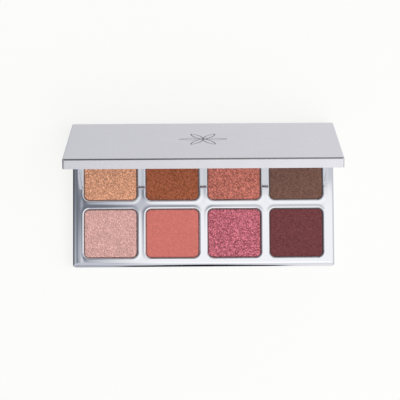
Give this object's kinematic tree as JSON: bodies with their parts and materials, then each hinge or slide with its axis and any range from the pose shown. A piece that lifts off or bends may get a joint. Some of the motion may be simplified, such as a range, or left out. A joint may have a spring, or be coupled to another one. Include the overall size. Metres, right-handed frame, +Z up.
{
  "type": "eyeshadow palette",
  "caption": "Slim silver eyeshadow palette, shown open: pressed powders in metal pans set in a polished frame, under a hinged satin lid with a mirror inside.",
  "frame": {"origin": "centre of the base's underside, on the label's flat face", "axes": "+X along the width to the user's right, -Y to the front edge where the lid opens, +Z up"},
  "size_m": [0.122, 0.0668, 0.0687],
  "materials": {
    "silver_case": "vacuum-metallised plastic, mirror silver",
    "satin_lid": "vacuum-metallised plastic, satin silver",
    "mirror_glass": "silvered glass",
    "tinplate": "bright pressed sheet",
    "steel": "plain",
    "magnet": "nickel plated",
    "adhesive": "soft tape and glue",
    "label": "plain white, smooth",
    "powder_front_1": "pressed powder, pale champagne pink, fine shimmer",
    "powder_front_2": "pressed powder, coral, matte",
    "powder_front_3": "pressed powder, rose berry, metallic",
    "powder_front_4": "pressed powder, burgundy, matte",
    "powder_back_1": "pressed powder, copper gold, shimmer",
    "powder_back_2": "pressed powder, burnt sienna, matte",
    "powder_back_3": "pressed powder, copper rose, shimmer",
    "powder_back_4": "pressed powder, taupe brown, matte"
  },
  "bodies": {
    "base": {"base_tray": "silver_case", "pan_frame": "silver_case", "pan_glue": "adhesive", "base_magnets": "magnet", "underside_label": "label", "pan_front_1": "tinplate", "pan_front_2": "tinplate", "pan_front_3": "tinplate", "pan_front_4": "tinplate", "pan_back_1": "tinplate", "pan_back_2": "tinplate", "pan_back_3": "tinplate", "pan_back_4": "tinplate", "powder_front_1": "powder_front_1", "powder_front_2": "powder_front_2", "powder_front_3": "powder_front_3", "powder_front_4": "powder_front_4", "powder_back_1": "powder_back_1", "powder_back_2": "powder_back_2", "powder_back_3": "powder_back_3", "powder_back_4": "powder_back_4"},
    "lid": {"lid_shell": "satin_lid", "mirror_carrier": "silver_case", "mirror_glass": "mirror_glass", "mirror_adhesive": "adhesive", "lid_magnets": "magnet", "hinge_pin_left": "steel", "hinge_pin_right": "steel"}
  },
  "joints": [
    {"name": "lid_hinge", "type": "hinge", "parent": "base", "child": "lid", "pos_m": [0, 0.0288, 0.009], "axis": [-1, 0, 0], "range_deg": [-69.5, 65.5]}
  ]
}
